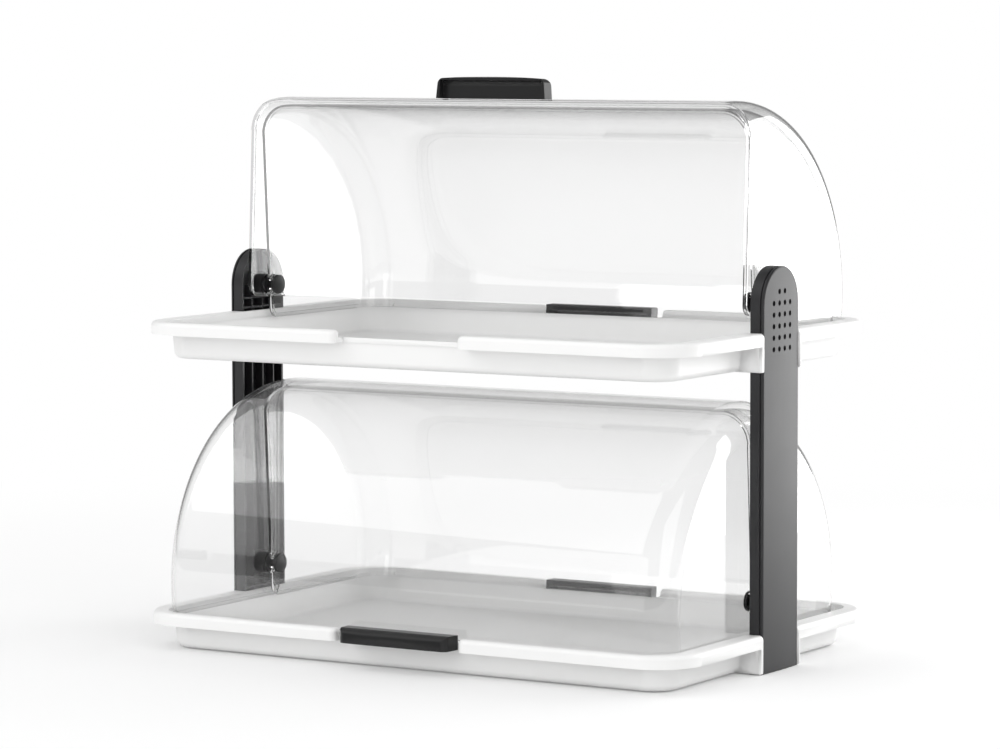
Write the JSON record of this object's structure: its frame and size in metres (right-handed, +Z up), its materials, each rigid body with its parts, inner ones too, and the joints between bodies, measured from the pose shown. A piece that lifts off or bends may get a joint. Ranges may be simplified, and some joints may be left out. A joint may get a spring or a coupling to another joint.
{
  "type": "countertop bread display bin",
  "caption": "Two-tier countertop display bin for bread: white trays between dark side posts, with clear front and rear covers that roll open over the top.",
  "frame": {"origin": "on the table top, under the middle of the trays and the pivot lines", "axes": "+X to the right along the pivots, +Y to the back, +Z up"},
  "size_m": [0.59, 0.4005, 0.5423],
  "materials": {
    "white_abs": "fine satin moulding, white",
    "anthracite_plastic": "fine moulded grain, anthracite",
    "black_plastic": "satin black moulding",
    "clear_plastic": "polished, clear",
    "steel": "zinc plated",
    "rubber": "matt"
  },
  "bodies": {
    "frame": {"lower_tray": "white_abs", "upper_tray": "white_abs", "rubber_feet": "rubber", "left_post": "anthracite_plastic", "left_post_cover": "anthracite_plastic", "left_tray_screws": "steel", "right_post": "anthracite_plastic", "right_post_cover": "anthracite_plastic", "right_tray_screws": "steel", "lower_left_nut": "steel", "lower_left_washer": "black_plastic", "lower_right_nut": "steel", "lower_right_washer": "black_plastic", "upper_left_nut": "steel", "upper_left_washer": "black_plastic", "upper_right_nut": "steel", "upper_right_washer": "black_plastic"},
    "lower_front_cover_body": {"lower_front_cover": "clear_plastic", "lower_front_handle": "black_plastic"},
    "lower_rear_cover_body": {"lower_rear_cover": "clear_plastic", "lower_rear_handle": "black_plastic"},
    "upper_front_cover_body": {"upper_front_cover": "clear_plastic", "upper_front_handle": "black_plastic"},
    "upper_rear_cover_body": {"upper_rear_cover": "clear_plastic", "upper_rear_handle": "black_plastic"},
    "lower_left_knob_body": {"lower_left_knob": "black_plastic", "lower_left_stud": "steel"},
    "lower_right_knob_body": {"lower_right_knob": "black_plastic", "lower_right_stud": "steel"},
    "upper_left_knob_body": {"upper_left_knob": "black_plastic", "upper_left_stud": "steel"},
    "upper_right_knob_body": {"upper_right_knob": "black_plastic", "upper_right_stud": "steel"}
  },
  "joints": [
    {"name": "lower_front_cover_roll", "type": "hinge", "parent": "frame", "child": "lower_front_cover_body", "pos_m": [0, 0, 0.0617], "axis": [-1, 0, 0], "range_deg": [0, 92]},
    {"name": "lower_rear_cover_roll", "type": "hinge", "parent": "frame", "child": "lower_rear_cover_body", "pos_m": [0, 0, 0.0617], "axis": [-1, 0, 0], "range_deg": [-92, 0]},
    {"name": "upper_rear_cover_roll", "type": "hinge", "parent": "frame", "child": "upper_rear_cover_body", "pos_m": [0, 0, 0.3373], "axis": [-1, 0, 0], "range_deg": [-92, 0]},
    {"name": "upper_front_cover_roll", "type": "hinge", "parent": "upper_rear_cover_body", "child": "upper_front_cover_body", "pos_m": [0, 0, 0.3373], "axis": [1, 0, 0], "range_deg": [0, 92.8]},
    {"name": "lower_left_knob_turn", "type": "hinge", "parent": "frame", "child": "lower_left_knob_body", "pos_m": [-0.265, 0, 0.0617], "axis": [-1, 0, 0], "continuous": true},
    {"name": "lower_right_knob_turn", "type": "hinge", "parent": "frame", "child": "lower_right_knob_body", "pos_m": [0.265, 0, 0.0617], "axis": [1, 0, 0], "continuous": true},
    {"name": "upper_left_knob_turn", "type": "hinge", "parent": "frame", "child": "upper_left_knob_body", "pos_m": [-0.265, 0, 0.3373], "axis": [-1, 0, 0], "continuous": true},
    {"name": "upper_right_knob_turn", "type": "hinge", "parent": "frame", "child": "upper_right_knob_body", "pos_m": [0.265, 0, 0.3373], "axis": [1, 0, 0], "continuous": true}
  ]
}
